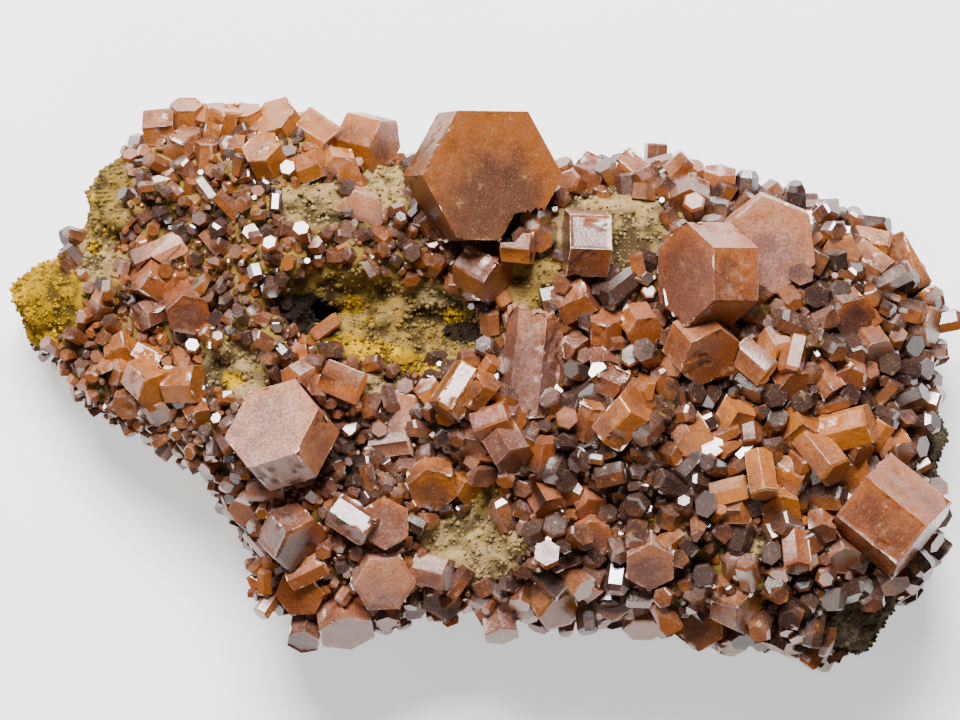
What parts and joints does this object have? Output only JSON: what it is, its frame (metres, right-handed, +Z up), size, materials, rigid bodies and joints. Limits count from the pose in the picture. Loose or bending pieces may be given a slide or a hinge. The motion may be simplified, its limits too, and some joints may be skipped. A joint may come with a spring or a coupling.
{
  "type": "mineral specimen",
  "caption": "Slab of ochre limonite rock, lying on its flat back, overgrown with reddish-brown hexagonal vanadinite tablets and prisms; a display or study specimen.",
  "frame": {"origin": "on the resting face, under the middle of the specimen's bounding box", "axes": "+X along the specimen from the bare ochre knob to the block-shaped crystal, +Y across it towards the great tablet, +Z up out of the crystal side"},
  "size_m": [0.0946, 0.0567, 0.0298],
  "materials": {
    "matrix": "rough earthy iron-stained rock",
    "russet": "adamantine, dark red-brown",
    "amber": "adamantine, orange-brown",
    "mauve": "dusty, pinkish brown"
  },
  "bodies": {
    "root": {"amber_knob": "amber", "barrel_pair": "amber", "block_foot": "amber", "brown_barrel": "russet", "cave_cluster": "russet", "coated_bars": "mauve", "copper_bar": "amber", "copper_tablet": "amber", "corner_cluster": "russet", "corner_tablets_1": "mauve", "corner_tablets_2": "mauve", "crest_barrels_1": "russet", "crest_barrels_2": "russet", "crest_prisms": "russet", "dark_tablet": "russet", "edge_prisms": "mauve", "end_prisms": "amber", "ginger_block": "amber", "great_tablet": "amber", "grey_plate": "mauve", "leaning_prism_1": "amber", "leaning_prism_2": "amber", "left_edge_cluster": "amber", "left_rosette": "russet", "left_tablet": "mauve", "lone_amber": "amber", "lower_edge_prisms": "mauve", "lower_middle_cluster_1": "russet", "lower_middle_cluster_2": "russet", "lower_right_cluster_1": "amber", "lower_right_cluster_2": "amber", "lower_right_cluster_3": "amber", "lower_tablets": "mauve", "matrix": "matrix", "mauve_tablet": "mauve", "middle_cluster": "russet", "orange_barrels_1": "amber", "orange_barrels_2": "amber", "orange_prisms_1": "amber", "orange_prisms_2": "amber", "orange_prisms_3": "amber", "pink_tablet": "mauve", "right_bank": "amber", "right_block": "russet", "right_slope_cluster": "russet", "shiny_prism": "russet", "shoulder_prisms": "amber", "stacked_tablets": "russet", "tall_lath": "mauve", "top_left_row_1": "amber", "top_left_row_2": "amber", "upper_middle_cluster": "russet", "upper_right_tablets": "russet", "wedge_tablet": "russet", "white_bar": "mauve", "white_cube": "amber"}
  },
  "joints": []
}
